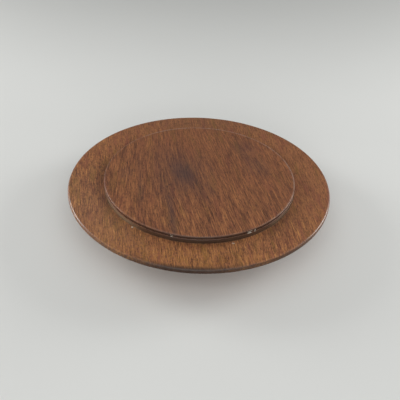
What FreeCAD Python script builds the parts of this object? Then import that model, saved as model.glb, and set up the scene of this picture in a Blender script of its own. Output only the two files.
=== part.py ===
"""Wooden turntable display stand: a wide thin-rimmed platter with a raised display disc, on a ball bearing.

The frame has its origin on the table under the turning axis, with +Z up, and the table is at Z = 0. From the
table up come four rubber feet, the base disc, the lower bearing plate, the caged balls, the upper bearing
plate, the platter and the display disc. Every driving dimension is a cell of the sheet, in millimetres, and
the size and place of every piece are expressions on those cells.
"""

import FreeCAD, Part

import math
import os

import Sketcher

DOCUMENT = "turntable_display_stand"

# Driving dimensions in millimetres, one cell each. A clearance is on each side. A count is a plain number.
SIZES = {
    # platter
    "platter_diameter": 280,
    "platter_thickness": 12,
    "platter_flat_diameter": 178,
    "rim_thickness": 5.2,
    "rim_top_round": 2.2,
    "rim_bottom_round": 1.8,
    # display disc, which sits in a shallow seat in the platter
    "display_diameter": 203.5,
    "display_rise": 7.8,
    "display_top_round": 1.1,
    "display_seat_depth": 1,
    "display_seat_clearance": 0.1,
    "lip_thickness": 2.2,
    "groove_width": 1.3,
    "groove_depth": 1.8,
    # base disc
    "base_diameter": 180,
    "base_thickness": 15,
    "base_round": 4,
    "driver_hole_clearance": 0.9,
    # ball bearing
    "bearing_height": 8,
    "bearing_side": 102,
    "bearing_corner_round": 9,
    "bearing_hole_margin": 9,
    "sheet_thickness": 1.2,
    "race_inner_width": 8,
    "race_outer_width": 6,
    "race_step_width": 2,
    "ball_diameter": 4,
    "ball_circle_diameter": 64,
    "ball_clearance": 0.1,
    "ball_count": 16,
    "cage_thickness": 1.2,
    "cage_clearance": 0.5,
    "cage_width": 10,
    "eyelet_wall": 1.2,
    "eyelet_flange_width": 3,
    "eyelet_radial_clearance": 0.3,
    "eyelet_axial_clearance": 0.2,
    "eyelet_back_clearance": 0.5,
    # screws, which share one shank and one size of head
    "screw_diameter": 3.5,
    "screw_tip_length": 2,
    "screw_head_diameter": 7,
    "pan_head_height": 2.1,
    "pan_head_round": 0.8,
    "recess_width": 0.9,
    "recess_length": 3.6,
    "recess_depth": 1.2,
    "pilot_spare_depth": 0.5,
    "plate_hole_clearance": 0.45,
    "wood_hole_clearance": 0.25,
    "plate_screw_length": 10,
    "display_screw_length": 16,
    "display_screw_margin": 11,
    "display_screw_sink": 0.3,
    # feet
    "foot_height": 5,
    "foot_margin": 16,
    "foot_top_diameter": 18,
    "foot_bottom_diameter": 15,
    "foot_bottom_round": 0.8,
    "foot_bore_clearance": 0.2,
    "foot_pocket_clearance": 0.3,
    "foot_screw_recess": 0.8,
    "foot_screw_length": 10,
    "washer_diameter": 8,
    "washer_thickness": 0.6,
}

FOURS = 4  # screws to a bearing plate, screws through the platter, and feet
DIAGONAL = 45  # degrees from +X to a corner of the lower bearing plate
FOOT_ANGLE = 22.5  # degrees from +X to the first foot, between the driver hole and a plate screw


def half(expression):
    """The expression for half of another one."""
    return f"({expression}) / 2"


def on_circle(circle_diameter, angle):
    """Expressions for the X and Y of the place at an angle, in degrees, on a circle about the axis."""
    if angle == 0:
        return half(circle_diameter), "0"
    return tuple(f"{half(circle_diameter)} * {turn}({angle} deg)" for turn in ("cos", "sin"))


def fours(circle_diameter, first_angle):
    """The four places round a circle, from a first angle, as (number, x, y) with the numbers from 1."""
    for number in range(FOURS):
        x, y = on_circle(circle_diameter, first_angle + number * 360 / FOURS)
        yield number + 1, x, y


# Levels above the table, each as an expression.
BASE_BOTTOM = "Sizes.foot_height"
BASE_TOP = f"({BASE_BOTTOM} + Sizes.base_thickness)"
BALL_LEVEL = f"({BASE_TOP} + Sizes.bearing_height / 2)"
PLATTER_BOTTOM = f"({BASE_TOP} + Sizes.bearing_height)"
PLATTER_TOP = f"({PLATTER_BOTTOM} + Sizes.platter_thickness)"
DISPLAY_BOTTOM = f"({PLATTER_TOP} - Sizes.display_seat_depth)"
DISPLAY_TOP = f"({PLATTER_TOP} + Sizes.display_rise)"

# A bearing plate's levels over its own flat back, and the circles that the fixings lie on.
RACE_FACE = "((Sizes.bearing_height - Sizes.cage_thickness) / 2 - Sizes.cage_clearance)"
RACE_BACK = f"({RACE_FACE} - Sizes.sheet_thickness)"
EYELET_FLANGE = f"({RACE_BACK} - Sizes.eyelet_axial_clearance - Sizes.eyelet_back_clearance)"
EYELET_RADIUS = "(Sizes.ball_circle_diameter / 2 - Sizes.race_inner_width)"
PLATE_CORNER = "(Sizes.bearing_side / 2 - Sizes.bearing_hole_margin)"
PLATE_CIRCLE = f"({PLATE_CORNER} * 2 * sqrt(2))"
DISPLAY_CIRCLE = "(Sizes.platter_flat_diameter - 2 * Sizes.display_screw_margin)"
FOOT_CIRCLE = "(Sizes.base_diameter - 2 * Sizes.foot_margin)"

# Depths that the screws and their holes share.
SHANK = half("Sizes.screw_diameter")
HEAD = half("Sizes.screw_head_diameter")
COUNTERSUNK_HEIGHT = f"({HEAD} - {SHANK})"
PLATE_PILOT = "(Sizes.plate_screw_length - Sizes.sheet_thickness + Sizes.pilot_spare_depth)"
WASHER_BOTTOM = "(Sizes.foot_screw_recess + Sizes.pan_head_height)"
POCKET_TOP = f"({WASHER_BOTTOM} + Sizes.washer_thickness)"


class Model:
    """The document, its sheet of sizes, and the pieces in the order in which they were made."""

    def __init__(self):
        self.document = FreeCAD.newDocument(DOCUMENT)
        self.sheet = self.document.addObject("Spreadsheet::Sheet", "Sizes")
        for row, (alias, number) in enumerate(SIZES.items(), start=1):
            self.sheet.set(f"A{row}", alias)
            self.sheet.set(f"B{row}", str(number))
            self.sheet.setAlias(f"B{row}", alias)
        self.document.recompute()
        self.pieces = []

    def number(self, expression):
        """What an expression on the sheet's cells comes to, in millimetres."""
        return float(self.sheet.evalExpression(expression))

    def body(self, label):
        """A new empty PartDesign body, kept as a piece under that label."""
        body = self.document.addObject("PartDesign::Body", label)
        body.Label = label
        self.pieces.append(body)
        return body

    def attach(self, feature, body, role):
        """Lays a feature on one of the body's own origin planes."""
        plane = next(f for f in body.Origin.OriginFeatures if f.Role == role)
        feature.AttachmentSupport = [(plane, "")]
        feature.MapMode = "FlatFace"

    def sketch(self, body, name, role="XZ_Plane", level=None):
        """A sketch on one of the body's own origin planes, raised to a level if one is given."""
        sketch = body.newObject("Sketcher::SketchObject", name)
        self.attach(sketch, body, role)
        if level is not None:
            sketch.setExpression("AttachmentOffset.Base.z", level)
        return sketch

    def outline(self, sketch, start, steps):
        """Draws a closed outline whose corners and arcs are all driven by expressions.

        Each step is (x, y) for a straight side to that point, or (x, y, radius, side) for an arc whose centre
        lies on that side, "left" or "right", of the way from the last point to this one.
        """
        points = [start] + [step[:2] for step in steps]
        places = [(self.number(x), self.number(y)) for x, y in points]
        ends = []
        for step, begin, end in zip(steps, places, places[1:]):
            if len(step) == 2:
                side = Part.LineSegment(FreeCAD.Vector(*begin, 0), FreeCAD.Vector(*end, 0))
                ends.append((sketch.addGeometry(side, False), 1, 2))
            else:
                ends.append(self._arc(sketch, begin, end, *step[2:]))
        for number, (geometry, first, last) in enumerate(ends):
            following = ends[(number + 1) % len(ends)]
            sketch.addConstraint(
                Sketcher.Constraint("Coincident", geometry, last, following[0], following[1])
            )
            self._pin(sketch, geometry, last, points[number + 1])
        return sketch

    def _arc(self, sketch, begin, end, radius, side):
        """Adds one arc and binds its radius. Returns its index and which of its ends come first and last."""
        size = self.number(radius)
        across, up = end[0] - begin[0], end[1] - begin[1]
        chord = math.hypot(across, up)
        reach = math.sqrt(max(size * size - chord * chord / 4, 0)) / chord
        sign = 1 if side == "left" else -1
        centre_x = (begin[0] + end[0]) / 2 - sign * up * reach
        centre_y = (begin[1] + end[1]) / 2 + sign * across * reach
        angles = [math.atan2(y - centre_y, x - centre_x) for x, y in (begin, end)]
        if side == "right":
            angles.reverse()
        circle = Part.Circle(
            FreeCAD.Vector(centre_x, centre_y, 0), FreeCAD.Vector(0, 0, 1), size
        )
        geometry = sketch.addGeometry(Part.ArcOfCircle(circle, *angles), False)
        bound = sketch.addConstraint(Sketcher.Constraint("Radius", geometry, size))
        sketch.setExpression(f"Constraints[{bound}]", radius)
        return (geometry, 1, 2) if side == "left" else (geometry, 2, 1)

    def _pin(self, sketch, geometry, end, point):
        """Holds one end of a piece of geometry at a point given by two expressions."""
        for kind, axis, expression in (("DistanceX", -2, point[0]), ("DistanceY", -1, point[1])):
            if expression == "0":
                sketch.addConstraint(Sketcher.Constraint("PointOnObject", geometry, end, axis))
                continue
            place = self.number(expression)
            bound = sketch.addConstraint(
                Sketcher.Constraint(kind, -1, 1, geometry, end, place)
            )
            sketch.setExpression(f"Constraints[{bound}]", expression)

    def circle(self, sketch, centre, radius):
        """Draws a circle whose centre and radius are driven by expressions."""
        place = FreeCAD.Vector(self.number(centre[0]), self.number(centre[1]), 0)
        round_line = Part.Circle(place, FreeCAD.Vector(0, 0, 1), self.number(radius))
        geometry = sketch.addGeometry(round_line, False)
        bound = sketch.addConstraint(
            Sketcher.Constraint("Radius", geometry, self.number(radius))
        )
        sketch.setExpression(f"Constraints[{bound}]", radius)
        self._pin(sketch, geometry, 3, centre)

    def revolve(self, body, name, start, steps):
        """Turns a closed outline of (radius, height) points a full turn about the body's Z axis."""
        sketch = self.outline(self.sketch(body, name + "_outline"), start, steps)
        feature = body.newObject("PartDesign::Revolution", name)
        feature.Profile = sketch
        feature.ReferenceAxis = (sketch, ["V_Axis"])
        feature.Angle = 360
        self.document.recompute()

    def pad(self, body, name, sketch, length):
        """Thickens a sketch upwards by an expression."""
        feature = body.newObject("PartDesign::Pad", name)
        feature.Profile = sketch
        feature.setExpression("Length", length)
        self.document.recompute()

    def drill(self, body, name, level, centre, radius, depth, up=True):
        """Cuts a round hole from a level, up or down, and checks that it took material away."""
        before = body.Shape.Volume
        sketch = self.sketch(body, name + "_circle", "XY_Plane", level)
        self.circle(sketch, centre, radius)
        feature = body.newObject("PartDesign::Pocket", name)
        feature.Profile = sketch
        feature.Reversed = up
        feature.setExpression("Length", depth)
        self.document.recompute()
        if body.Shape.Volume >= before:
            raise RuntimeError(f"{body.Label}: {name} cuts nothing")
        return feature

    def around(self, body, name, originals, count):
        """Repeats features evenly round the body's Z axis."""
        pattern = body.newObject("PartDesign::PolarPattern", name)
        pattern.Originals = originals
        axis = next(f for f in body.Origin.OriginFeatures if f.Role == "Z_Axis")
        pattern.Axis = (axis, [""])
        pattern.Angle = 360
        if count.isdigit():
            pattern.Occurrences = int(count)
        else:
            pattern.setExpression("Occurrences", count)
        body.Tip = pattern
        self.document.recompute()

    def place(self, piece, x, y, z, turned_over=False, turn=0):
        """Puts a piece at three expressions, after turning it over and about Z by degrees."""
        rotation = FreeCAD.Rotation(FreeCAD.Vector(0, 0, 1), turn)
        if turned_over:
            rotation = rotation * FreeCAD.Rotation(FreeCAD.Vector(1, 0, 0), 180)
        piece.Placement = FreeCAD.Placement(FreeCAD.Vector(0, 0, 0), rotation)
        for axis, expression in zip("xyz", (x, y, z)):
            piece.setExpression(f"Placement.Base.{axis}", expression)


def make_platter(model):
    """The wide turned disc: flat on top with a shallow seat, thinned to a rounded rim underneath."""
    body = model.body("platter")
    radius = half("Sizes.platter_diameter")
    flat = half("Sizes.platter_flat_diameter")
    seat = f"({half('Sizes.display_diameter')} + Sizes.display_seat_clearance)"
    rim_bottom = f"({PLATTER_TOP} - Sizes.rim_thickness)"
    rim_inner = f"({radius} - Sizes.rim_bottom_round)"
    model.revolve(
        body,
        "turned_blank",
        ("0", PLATTER_BOTTOM),
        [
            (flat, PLATTER_BOTTOM),
            (rim_inner, rim_bottom),
            (radius, f"{rim_bottom} + Sizes.rim_bottom_round", "Sizes.rim_bottom_round", "left"),
            (radius, f"{PLATTER_TOP} - Sizes.rim_top_round"),
            (f"{radius} - Sizes.rim_top_round", PLATTER_TOP, "Sizes.rim_top_round", "left"),
            (seat, PLATTER_TOP),
            (seat, DISPLAY_BOTTOM),
            ("0", DISPLAY_BOTTOM),
            ("0", PLATTER_BOTTOM),
        ],
    )
    pilot = model.drill(
        body,
        "plate_screw_pilot",
        PLATTER_BOTTOM,
        on_circle(PLATE_CIRCLE, 0),
        SHANK,
        PLATE_PILOT,
    )
    model.around(body, "plate_screw_pilots", [pilot], str(FOURS))
    centre = on_circle(DISPLAY_CIRCLE, DIAGONAL)
    through = model.drill(
        body,
        "display_screw_hole",
        PLATTER_BOTTOM,
        centre,
        f"{SHANK} + Sizes.wood_hole_clearance",
        "Sizes.platter_thickness",
    )
    model.around(body, "display_screw_holes", [through], str(FOURS))
    mouth = body.newObject("PartDesign::SubtractiveCone", "countersink")
    model.attach(mouth, body, "XY_Plane")
    mouth.setExpression("Radius1", f"{HEAD} + Sizes.display_screw_sink")
    mouth.setExpression("Radius2", SHANK)
    mouth.setExpression("Height", f"{COUNTERSUNK_HEIGHT} + Sizes.display_screw_sink")
    for axis, expression in zip("xyz", (*centre, PLATTER_BOTTOM)):
        mouth.setExpression(f"AttachmentOffset.Base.{axis}", expression)
    model.document.recompute()
    model.around(body, "countersinks", [mouth], str(FOURS))


def make_display_disc(model):
    """The raised disc: a thin rounded lip over a narrow turned groove, with its foot in a shallow seat."""
    body = model.body("display_disc")
    radius = half("Sizes.display_diameter")
    lip_bottom = f"({DISPLAY_TOP} - Sizes.lip_thickness)"
    groove_bottom = f"({lip_bottom} - Sizes.groove_width)"
    groove_radius = f"({radius} - Sizes.groove_depth)"
    easing = "(Sizes.lip_thickness - Sizes.display_top_round)"
    model.revolve(
        body,
        "turned_blank",
        ("0", DISPLAY_BOTTOM),
        [
            (radius, DISPLAY_BOTTOM),
            (radius, f"{groove_bottom} - {half('Sizes.groove_width')}"),
            (
                f"{radius} - {half('Sizes.groove_width')}",
                groove_bottom,
                half("Sizes.groove_width"),
                "left",
            ),
            (groove_radius, groove_bottom),
            (groove_radius, lip_bottom),
            (f"{radius} - {easing}", lip_bottom),
            (radius, f"{lip_bottom} + {easing}", easing, "left"),
            (f"{radius} - Sizes.display_top_round", DISPLAY_TOP, "Sizes.display_top_round", "left"),
            ("0", DISPLAY_TOP),
            ("0", DISPLAY_BOTTOM),
        ],
    )
    reach = "(Sizes.display_screw_sink + Sizes.display_screw_length)"
    under_disc = "(Sizes.platter_thickness - Sizes.display_seat_depth)"
    pilot = model.drill(
        body,
        "display_screw_pilot",
        DISPLAY_BOTTOM,
        on_circle(DISPLAY_CIRCLE, DIAGONAL),
        SHANK,
        f"{reach} - {under_disc} + Sizes.pilot_spare_depth",
    )
    model.around(body, "display_screw_pilots", [pilot], str(FOURS))


def make_base_disc(model):
    """The small turned disc on the feet, with pilot holes and one hole to reach the upper plate's screws."""
    body = model.body("base_disc")
    radius = half("Sizes.base_diameter")
    edge = "Sizes.base_round"
    model.revolve(
        body,
        "turned_blank",
        ("0", BASE_BOTTOM),
        [
            (f"{radius} - {edge}", BASE_BOTTOM),
            (radius, f"{BASE_BOTTOM} + {edge}", edge, "left"),
            (radius, f"{BASE_TOP} - {edge}"),
            (f"{radius} - {edge}", BASE_TOP, edge, "left"),
            ("0", BASE_TOP),
            ("0", BASE_BOTTOM),
        ],
    )
    model.drill(
        body,
        "driver_hole",
        BASE_BOTTOM,
        on_circle(PLATE_CIRCLE, 0),
        f"{half(PLATE_CIRCLE)} - {half('Sizes.bearing_side')} - Sizes.driver_hole_clearance",
        "Sizes.base_thickness",
    )
    pilot = model.drill(
        body,
        "plate_screw_pilot",
        BASE_TOP,
        (PLATE_CORNER, PLATE_CORNER),
        SHANK,
        PLATE_PILOT,
        up=False,
    )
    model.around(body, "plate_screw_pilots", [pilot], str(FOURS))
    foot_pilot = model.drill(
        body,
        "foot_screw_pilot",
        BASE_BOTTOM,
        on_circle(FOOT_CIRCLE, FOOT_ANGLE),
        SHANK,
        f"Sizes.foot_screw_length - (Sizes.foot_height - {WASHER_BOTTOM}) + Sizes.pilot_spare_depth",
    )
    model.around(body, "foot_screw_pilots", [foot_pilot], str(FOURS))


def make_bearing_plate(model, label, bore_radius):
    """A square stamped plate that lies at Z = 0, with its raised ball race upwards round a large hole."""
    body = model.body(label)
    side = half("Sizes.bearing_side")
    bend = "Sizes.bearing_corner_round"
    sketch = model.sketch(body, "flange_outline", "XY_Plane")
    model.outline(
        sketch,
        (f"{side} - {bend}", f"-{side}"),
        [
            (side, f"-{side} + {bend}", bend, "left"),
            (side, f"{side} - {bend}"),
            (f"{side} - {bend}", side, bend, "left"),
            (f"-{side} + {bend}", side),
            (f"-{side}", f"{side} - {bend}", bend, "left"),
            (f"-{side}", f"-{side} + {bend}"),
            (f"-{side} + {bend}", f"-{side}", bend, "left"),
            (f"{side} - {bend}", f"-{side}"),
        ],
    )
    middle = half("Sizes.ball_circle_diameter")
    flat = f"({middle} + Sizes.race_outer_width)"
    model.circle(sketch, ("0", "0"), f"{flat} + Sizes.race_step_width")
    model.pad(body, "flange", sketch, "Sizes.sheet_thickness")
    sheet = "Sizes.sheet_thickness"
    ball = half("Sizes.bearing_height")
    inner_arc = "(Sizes.ball_diameter / 2 + Sizes.ball_clearance)"
    outer_arc = f"({inner_arc} + {sheet})"
    face_reach = f"sqrt({inner_arc}^2 - ({ball} - {RACE_FACE})^2)"
    back_reach = f"sqrt({outer_arc}^2 - ({ball} - {RACE_BACK})^2)"
    step = "Sizes.race_step_width"
    model.revolve(
        body,
        "race",
        (bore_radius, RACE_BACK),
        [
            (f"{middle} - {back_reach}", RACE_BACK),
            (f"{middle} + {back_reach}", RACE_BACK, outer_arc, "left"),
            (f"{flat} - {half(step)}", RACE_BACK),
            (f"{flat} + {half(step)}", "0"),
            (f"{flat} + {step} + {half(sheet)}", "0"),
            (f"{flat} + {step} + {half(sheet)}", sheet),
            (f"{flat} + {step}", sheet),
            (flat, RACE_FACE),
            (f"{middle} + {face_reach}", RACE_FACE),
            (f"{middle} - {face_reach}", RACE_FACE, inner_arc, "right"),
            (bore_radius, RACE_FACE),
            (bore_radius, RACE_BACK),
        ],
    )
    radius = f"{SHANK} + Sizes.plate_hole_clearance"
    hole = model.drill(body, "screw_hole", "0", (PLATE_CORNER, PLATE_CORNER), radius, sheet)
    model.around(body, "screw_holes", [hole], str(FOURS))
    return body


def make_bearing_plates(model):
    """The lower plate on the base disc, and the upper one turned over, its corners over the driver hole."""
    lower = make_bearing_plate(model, "lower_bearing_plate", EYELET_RADIUS)
    model.place(lower, "0", "0", BASE_TOP)
    bore_radius = f"({EYELET_RADIUS} + Sizes.eyelet_radial_clearance)"
    upper = make_bearing_plate(model, "upper_bearing_plate", bore_radius)
    model.place(upper, "0", "0", PLATTER_BOTTOM, turned_over=True, turn=DIAGONAL)


def make_eyelet(model):
    """The rolled tube through both plates, whose flanges hold them together and let the upper one turn."""
    eyelet = model.body("bearing_eyelet")
    inner = f"({EYELET_RADIUS} - Sizes.eyelet_wall)"
    flange = f"({EYELET_RADIUS} + Sizes.eyelet_flange_width)"
    lower = f"({BASE_TOP} + {RACE_BACK})"
    upper = f"({PLATTER_BOTTOM} - {RACE_BACK} + Sizes.eyelet_axial_clearance)"
    model.revolve(
        eyelet,
        "rolled_tube",
        (inner, f"{lower} - {EYELET_FLANGE}"),
        [
            (flange, f"{lower} - {EYELET_FLANGE}"),
            (flange, lower),
            (EYELET_RADIUS, lower),
            (EYELET_RADIUS, upper),
            (flange, upper),
            (flange, f"{upper} + {EYELET_FLANGE}"),
            (inner, f"{upper} + {EYELET_FLANGE}"),
            (inner, f"{lower} - {EYELET_FLANGE}"),
        ],
    )


def make_ball_ring(model):
    """The flat cage and the balls in its pockets, evenly spaced round the ball circle."""
    cage = model.body("ball_cage")
    middle = half("Sizes.ball_circle_diameter")
    bottom = f"{BALL_LEVEL} - {half('Sizes.cage_thickness')}"
    ring = model.sketch(cage, "ring_outline", "XY_Plane", bottom)
    model.circle(ring, ("0", "0"), f"{middle} + {half('Sizes.cage_width')}")
    model.circle(ring, ("0", "0"), f"{middle} - {half('Sizes.cage_width')}")
    model.pad(cage, "ring", ring, "Sizes.cage_thickness")
    pocket = model.drill(
        cage,
        "ball_pocket",
        bottom,
        (middle, "0"),
        f"{half('Sizes.ball_diameter')} + Sizes.ball_clearance",
        "Sizes.cage_thickness",
    )
    model.around(cage, "ball_pockets", [pocket], "Sizes.ball_count")

    for number in range(round(model.number("Sizes.ball_count"))):
        ball = model.document.addObject("Part::Sphere", f"bearing_ball_{number + 1:02d}")
        ball.Label = f"bearing_ball_{number + 1:02d}"
        ball.setExpression("Radius", half("Sizes.ball_diameter"))
        turn = f"({number} * 360 deg / Sizes.ball_count)"
        model.place(ball, f"{middle} * cos({turn})", f"{middle} * sin({turn})", BALL_LEVEL)
        model.pieces.append(ball)


def make_screw(model, label, length, countersunk=False):
    """A wood screw that stands on its head, with a cross recess: the head's seat is at Z = 0.

    A countersunk head's cone is part of the screw's length, and a pan head lies below Z = 0.
    """
    body = model.body(label)
    bottom = "0" if countersunk else "-Sizes.pan_head_height"
    if countersunk:
        head = [(HEAD, "0"), (SHANK, COUNTERSUNK_HEIGHT)]
    else:
        edge = "Sizes.pan_head_round"
        crown = f"{bottom} + {edge}"
        head = [(f"{HEAD} - {edge}", bottom), (HEAD, crown, edge, "left"), (HEAD, "0"), (SHANK, "0")]
    tip = f"({length} - Sizes.screw_tip_length)"
    outline = [*head, (SHANK, tip), ("0", length), ("0", bottom)]
    model.revolve(body, "turned_shank", ("0", bottom), outline)
    arm = ("Sizes.recess_length", "Sizes.recess_width")
    for name, (along, across) in (("recess_x", arm), ("recess_y", arm[::-1])):
        recess = body.newObject("PartDesign::SubtractiveBox", name)
        model.attach(recess, body, "XY_Plane")
        recess.setExpression("Length", along)
        recess.setExpression("Width", across)
        recess.setExpression("Height", "Sizes.recess_depth")
        recess.setExpression("AttachmentOffset.Base.x", f"-({half(along)})")
        recess.setExpression("AttachmentOffset.Base.y", f"-({half(across)})")
        recess.setExpression("AttachmentOffset.Base.z", bottom)
        model.document.recompute()
    return body


def make_screws(model):
    """Four screws for each bearing plate, and four that hold the display disc from under the platter."""
    for number, x, y in fours(PLATE_CIRCLE, DIAGONAL):
        screw = make_screw(model, f"lower_plate_screw_{number}", "Sizes.plate_screw_length")
        model.place(screw, x, y, f"{BASE_TOP} + Sizes.sheet_thickness", turned_over=True)
    for number, x, y in fours(PLATE_CIRCLE, 0):
        screw = make_screw(model, f"upper_plate_screw_{number}", "Sizes.plate_screw_length")
        model.place(screw, x, y, f"{PLATTER_BOTTOM} - Sizes.sheet_thickness")
    for number, x, y in fours(DISPLAY_CIRCLE, DIAGONAL):
        screw = make_screw(
            model, f"display_screw_{number}", "Sizes.display_screw_length", countersunk=True
        )
        model.place(screw, x, y, f"{PLATTER_BOTTOM} + Sizes.display_screw_sink")


def make_foot(model, number, x, y):
    """One tapered rubber foot with the washer and the screw that hold it to the base disc."""
    bore = f"({SHANK} + Sizes.foot_bore_clearance)"
    pocket = f"({half('Sizes.washer_diameter')} + Sizes.foot_pocket_clearance)"
    bottom = half("Sizes.foot_bottom_diameter")
    easing = "Sizes.foot_bottom_round"
    rubber = model.body(f"rubber_foot_{number}")
    model.revolve(
        rubber,
        "moulding",
        (pocket, "0"),
        [
            (f"{bottom} - {easing}", "0"),
            (bottom, easing, easing, "left"),
            (half("Sizes.foot_top_diameter"), "Sizes.foot_height"),
            (bore, "Sizes.foot_height"),
            (bore, POCKET_TOP),
            (pocket, POCKET_TOP),
            (pocket, "0"),
        ],
    )
    model.place(rubber, x, y, "0")

    washer = model.body(f"foot_washer_{number}")
    ring = model.sketch(washer, "ring_outline", "XY_Plane", WASHER_BOTTOM)
    model.circle(ring, ("0", "0"), half("Sizes.washer_diameter"))
    model.circle(ring, ("0", "0"), bore)
    model.pad(washer, "ring", ring, "Sizes.washer_thickness")
    model.place(washer, x, y, "0")

    screw = make_screw(model, f"foot_screw_{number}", "Sizes.foot_screw_length")
    model.place(screw, x, y, WASHER_BOTTOM)


def check(model):
    """Stops with a message if any object failed or any piece isn't a sound closed solid."""
    for item in model.document.Objects:
        if {"Invalid", "Error"} & set(item.State):
            raise RuntimeError(f"{item.Label} failed: {item.State}")
    for piece in model.pieces:
        shape = piece.Shape
        if shape.isNull() or not shape.isValid() or len(shape.Solids) != 1:
            raise RuntimeError(f"{piece.Label} isn't one valid solid")


def main():
    """Builds every piece, checks them and writes one STEP file for each."""
    model = Model()
    make_platter(model)
    make_display_disc(model)
    make_base_disc(model)
    make_bearing_plates(model)
    make_eyelet(model)
    make_ball_ring(model)
    make_screws(model)
    for number, x, y in fours(FOOT_CIRCLE, FOOT_ANGLE):
        make_foot(model, number, x, y)
    model.document.recompute()
    check(model)
    os.makedirs("parts", exist_ok=True)
    for piece in model.pieces:
        piece.Shape.exportStep(os.path.join("parts", piece.Label + ".step"))
        print(f"{piece.Label}: {piece.Shape.Volume:.1f} mm3")


main()
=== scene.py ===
"""A wooden turntable display stand: a wide platter with a raised display disc, on a hidden bearing.

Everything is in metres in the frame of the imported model, with the origin on the turning axis at the table
and +Z up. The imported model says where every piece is. Each class below makes the finely shaped and finished
pieces of one sub-assembly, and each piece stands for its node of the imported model.
"""

import logging
import math
import random
from dataclasses import dataclass
from enum import Enum
from typing import Iterable, Sequence

import bmesh
import bpy
from bmesh.types import BMEdge, BMesh, BMVert
from mathutils import Matrix, Vector


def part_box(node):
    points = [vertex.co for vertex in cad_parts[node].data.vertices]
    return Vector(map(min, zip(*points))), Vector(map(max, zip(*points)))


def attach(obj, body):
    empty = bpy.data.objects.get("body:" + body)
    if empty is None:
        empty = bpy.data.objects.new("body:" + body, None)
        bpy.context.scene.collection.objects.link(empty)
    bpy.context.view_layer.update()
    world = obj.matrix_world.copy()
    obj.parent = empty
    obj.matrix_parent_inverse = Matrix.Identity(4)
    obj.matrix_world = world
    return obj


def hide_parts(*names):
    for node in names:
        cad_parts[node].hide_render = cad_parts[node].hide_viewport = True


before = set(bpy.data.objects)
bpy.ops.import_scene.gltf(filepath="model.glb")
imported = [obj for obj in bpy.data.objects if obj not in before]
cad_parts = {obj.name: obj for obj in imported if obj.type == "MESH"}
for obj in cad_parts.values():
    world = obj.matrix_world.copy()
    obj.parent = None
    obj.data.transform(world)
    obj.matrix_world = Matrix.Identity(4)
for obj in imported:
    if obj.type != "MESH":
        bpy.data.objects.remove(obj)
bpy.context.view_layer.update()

LOG = logging.getLogger("turntable")
MM = 0.001
FULL_TURN = 2 * math.pi
ROUND_STEPS = 192  # facets round a wide disc
SMALL_STEPS = 48  # facets round a screw or a washer
THREAD_STEPS = 20  # facets in one turn of a screw's thread
SAME_PLACE = 2e-6
EDGE_WANDER = 1.6  # how far the edge of a soft mark wanders
EDGE_FADE = 0.5  # how far past its oval such a mark still fades
SHARP = math.radians(38)  # past this angle an edge isn't shaded smooth
TONE_STEPS = (0.0, 0.32, 0.5, 0.7, 1.0)  # where a wood's five tones lie, dark to pale
Colour = tuple[float, float, float, float]
Number = float | int
Part = BMVert | BMEdge
Triple = tuple[float, float, float]


class Body(str, Enum):
    """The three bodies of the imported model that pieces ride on."""

    BASE = "base"
    BALLS = "ball_ring"
    TURNTABLE = "turntable"


class Head(Enum):
    """The two kinds of wood screw by their heads."""

    PAN = "pan"
    COUNTERSUNK = "countersunk"


def tint(red: int, green: int, blue: int) -> Colour:
    """A linear colour from the three numbers, 0 to 255, of a colour on a screen.

    Args:
        red: The red number.
        green: The green number.
        blue: The blue number.

    Returns:
        The colour as linear red, green, blue and an alpha of 1.
    """
    shares = (number / 255 for number in (red, green, blue))
    linear = (s / 12.92 if s <= 0.04045 else ((s + 0.055) / 1.055) ** 2.4 for s in shares)
    return (*linear, 1.0)


STAIN = tint(70, 54, 54)
GOLD = tint(160, 108, 52)
# painted shade: a dark brown laid on the wood wherever it is darkened to look shaded
PAINTED_SHADE = tint(40, 25, 17)
DUST = tint(150, 130, 104)
CRUMB = tint(222, 214, 196)
# wear, and a painted highlight: the pale colour laid on rubbed edges and where a sheen is painted
WEAR_AND_HIGHLIGHT = tint(168, 140, 124)


def shades(*screen: tuple[int, int, int]) -> tuple[tuple[float, Colour], ...]:
    """A wood's five tones, dark to pale, from screen colours, each with its place in the figure."""
    return tuple((step, tint(*numbers)) for step, numbers in zip(TONE_STEPS, screen))


# ---------------------------------------- shader nodes


class Wire:
    """A shader socket that takes part in arithmetic: each operator adds a Math node."""

    def __init__(self, paint: "Paint", socket: bpy.types.NodeSocket) -> None:
        """Keeps the material that the socket belongs to."""
        self.paint = paint
        self.socket = socket

    def math(self, operation: str, *others: "Wire | Number", clamp: bool = False) -> "Wire":
        """The result of a Math node with this as its first value, held between 0 and 1 if clamped."""
        values = dict(enumerate((self, *others)))
        return self.paint.node("ShaderNodeMath", {"operation": operation, "use_clamp": clamp}, values)

    def __add__(self, other: "Wire | Number") -> "Wire":
        """This plus another."""
        return self.math("ADD", other)

    def __sub__(self, other: "Wire | Number") -> "Wire":
        """This minus another."""
        return self.math("SUBTRACT", other)

    def __rsub__(self, other: Number) -> "Wire":
        """A number minus this."""
        return (self * -1.0) + other

    def __mul__(self, other: "Wire | Number") -> "Wire":
        """This times another."""
        return self.math("MULTIPLY", other)

    __radd__ = __add__
    __rmul__ = __mul__

    def held(self) -> "Wire":
        """This, held between 0 and 1."""
        return self.math("ADD", 0.0, clamp=True)

    def rise(self, low: Number, high: Number) -> "Wire":
        """A smooth step: 0 where this is below low, 1 where it is above high, either way round."""
        settings = {"interpolation_type": "SMOOTHSTEP"}
        return self.paint.node("ShaderNodeMapRange", settings, {0: self, 1: low, 2: high})


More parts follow.
